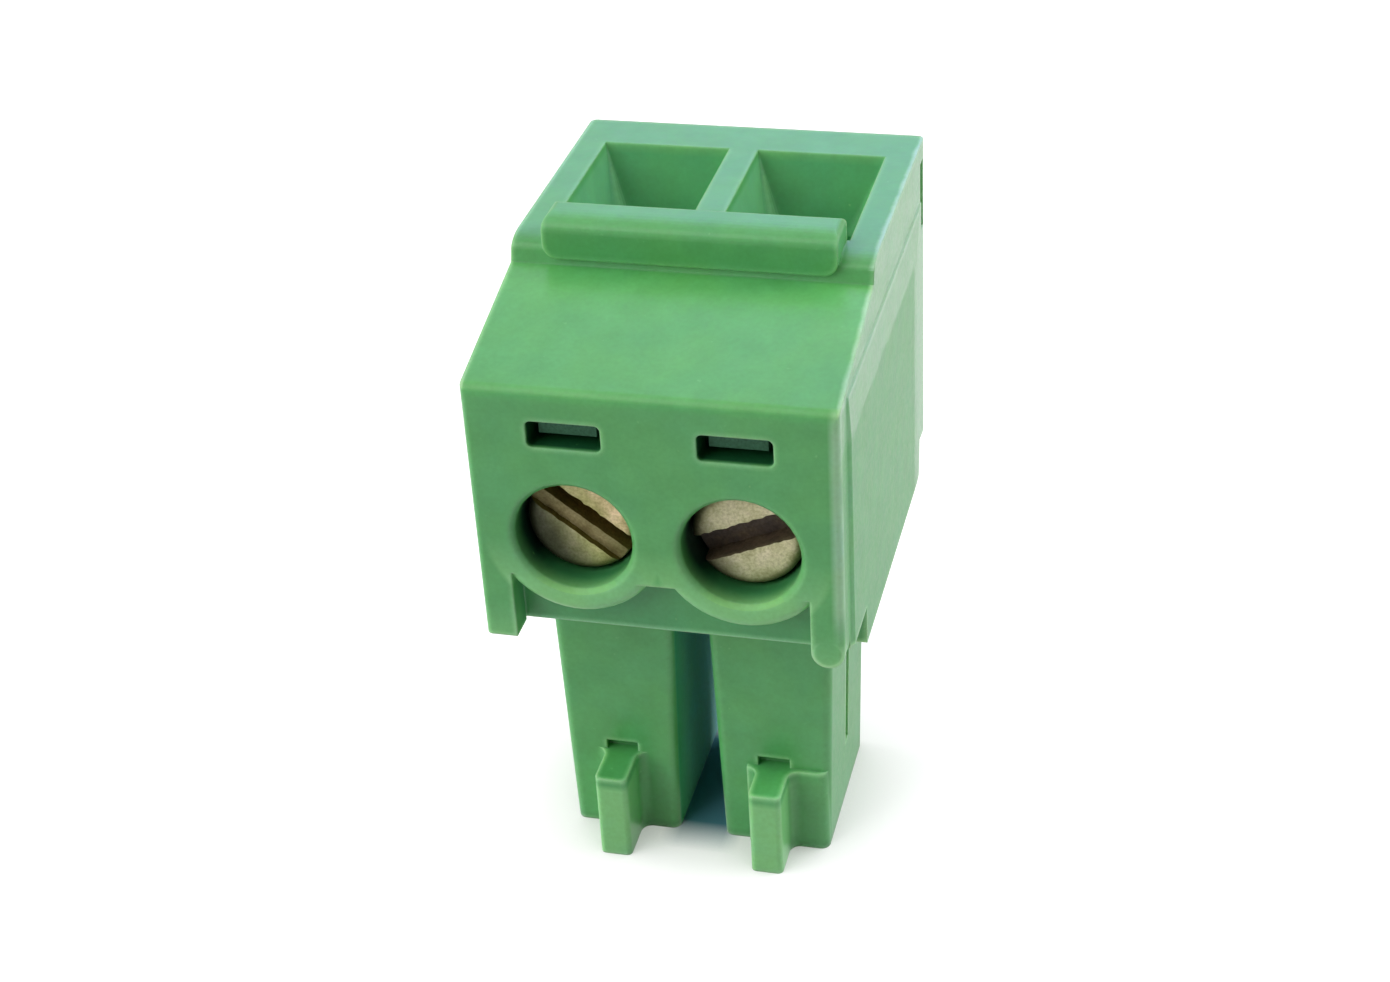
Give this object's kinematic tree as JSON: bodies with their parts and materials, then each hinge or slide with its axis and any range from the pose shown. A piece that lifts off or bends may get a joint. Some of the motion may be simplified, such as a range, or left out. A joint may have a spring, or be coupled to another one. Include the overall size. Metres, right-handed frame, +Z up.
{
  "type": "pluggable terminal block plug",
  "caption": "Green terminal block plug with wire funnels on top, recessed clamp screws on its face and keyed contact legs that plug onto a pin header.",
  "frame": {"origin": "middle of the plug's box, on the plane of the leg tips that it stands on", "axes": "+Z up from the leg tips to the wire funnels, +X to the right seen from the screw face, +Y from the screw face to the back"},
  "size_m": [0.0114, 0.0148, 0.021],
  "materials": {
    "nylon": "moulded, satin",
    "plated_screw": "yellow zinc plated, dull",
    "cage_steel": "zinc plated",
    "tinned_strip": "tin plated"
  },
  "bodies": {
    "housing": {"housing": "nylon", "contact_left": "tinned_strip", "contact_right": "tinned_strip"},
    "screw_left": {"screw_left": "plated_screw"},
    "cage_left": {"cage_left": "cage_steel"},
    "screw_right": {"screw_right": "plated_screw"},
    "cage_right": {"cage_right": "cage_steel"}
  },
  "joints": [
    {"name": "screw_left_turn", "type": "hinge", "parent": "housing", "child": "screw_left", "pos_m": [-0.00254, 0, 0.01332], "axis": [0, 1, 0], "range_deg": [0, 2160]},
    {"name": "cage_left_rise", "type": "slide", "parent": "housing", "child": "cage_left", "axis": [0, -1, 0], "range_m": [0, 0.003]},
    {"name": "screw_right_turn", "type": "hinge", "parent": "housing", "child": "screw_right", "pos_m": [0.00254, 0, 0.01332], "axis": [0, 1, 0], "range_deg": [0, 2160]},
    {"name": "cage_right_rise", "type": "slide", "parent": "housing", "child": "cage_right", "axis": [0, -1, 0], "range_m": [0, 0.003]}
  ],
  "couplings": [
    {"joint": "screw_left_turn", "follows": "cage_left_rise", "rad_per_m": 12566},
    {"joint": "screw_right_turn", "follows": "cage_right_rise", "rad_per_m": 12566}
  ]
}
